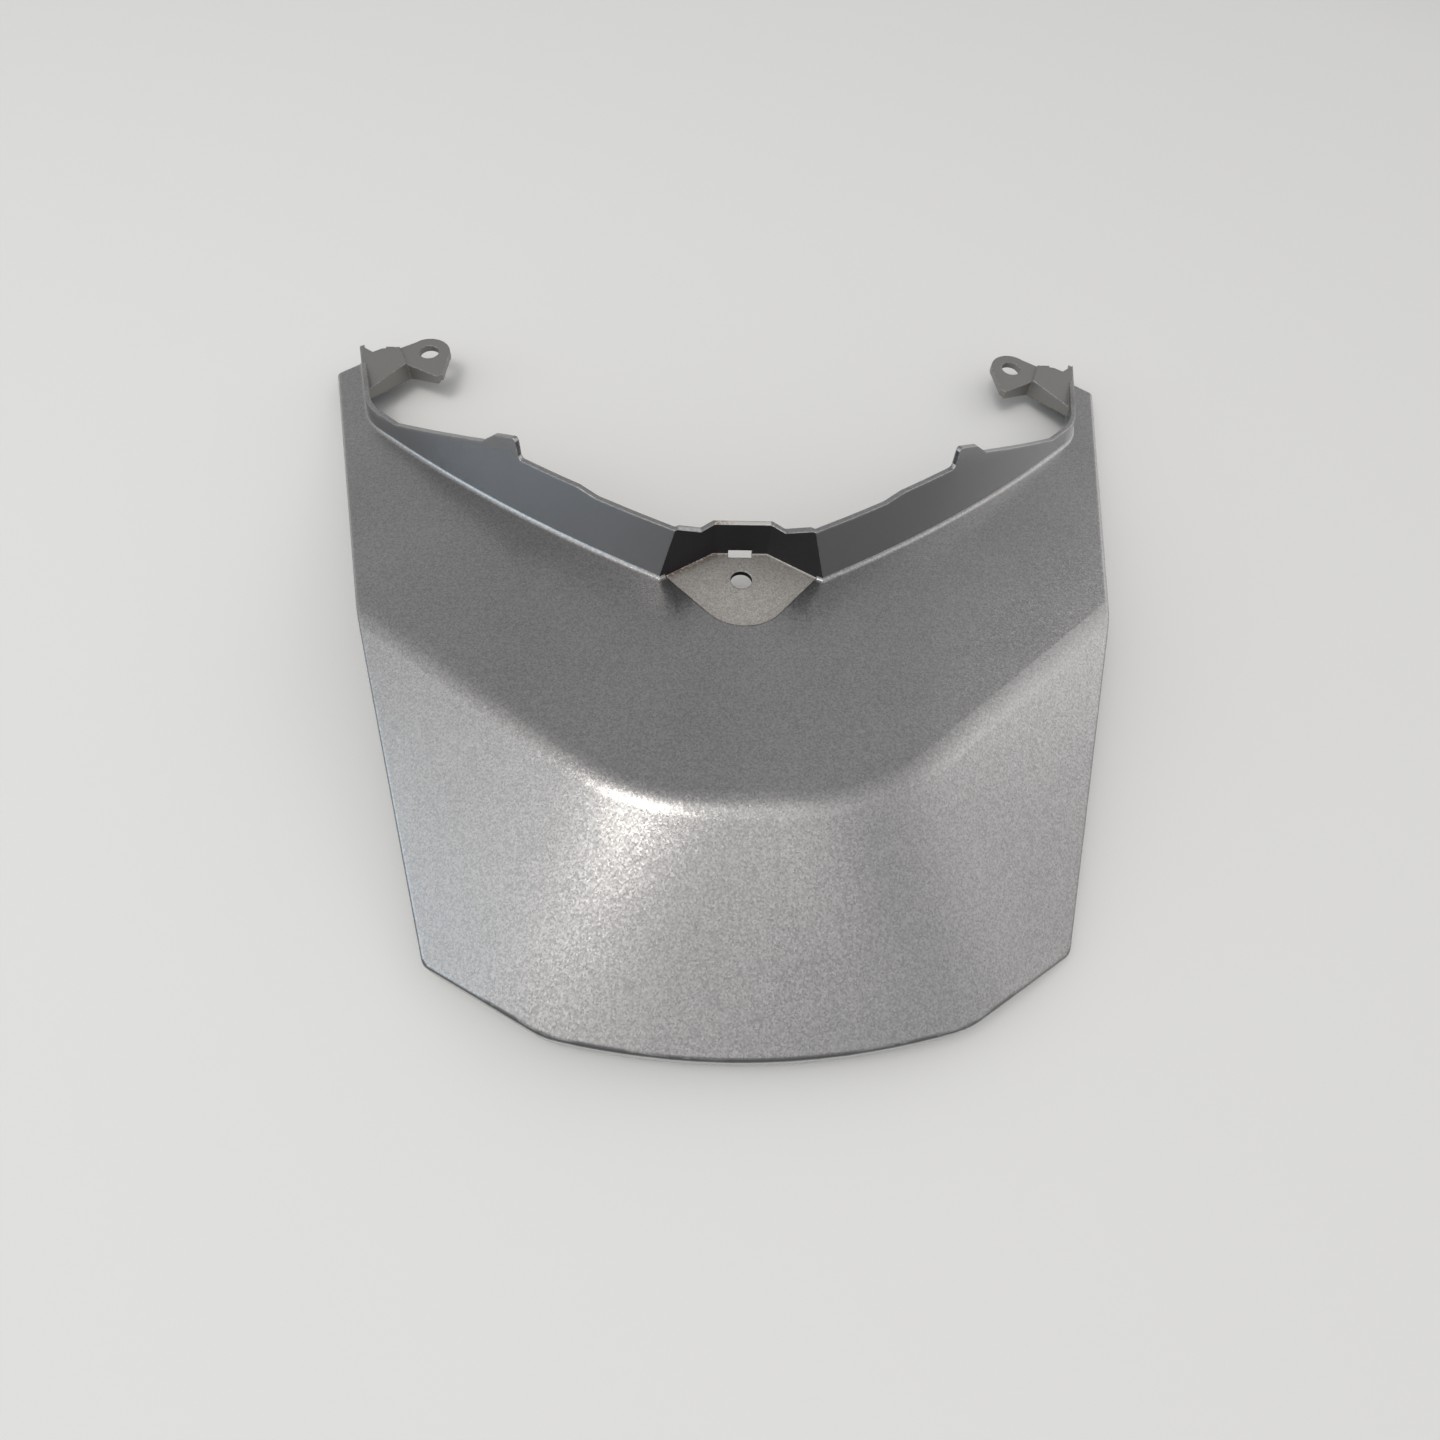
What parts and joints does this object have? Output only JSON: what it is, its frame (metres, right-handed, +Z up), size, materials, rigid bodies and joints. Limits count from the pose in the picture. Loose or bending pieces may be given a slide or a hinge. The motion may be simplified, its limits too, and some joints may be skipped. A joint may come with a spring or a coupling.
{
  "type": "scooter rear fairing",
  "caption": "Moulded scooter tail panel with a creased, sloping skin, a raised wall round a wide notch, a screw pocket in its point and fixing ears at its tips.",
  "frame": {"origin": "centre of the fixing hole, on the top of the pocket's level floor", "axes": "+X across the panel, to the right as seen from the lip; +Y from the lip towards the ears; +Z up as the panel lies on a table, along the fixing screws"},
  "size_m": [0.2848, 0.2508, 0.041],
  "materials": {
    "painted_plastic": "satin metallic grey paint"
  },
  "bodies": {
    "root": {"rear_fairing": "painted_plastic"}
  },
  "joints": []
}
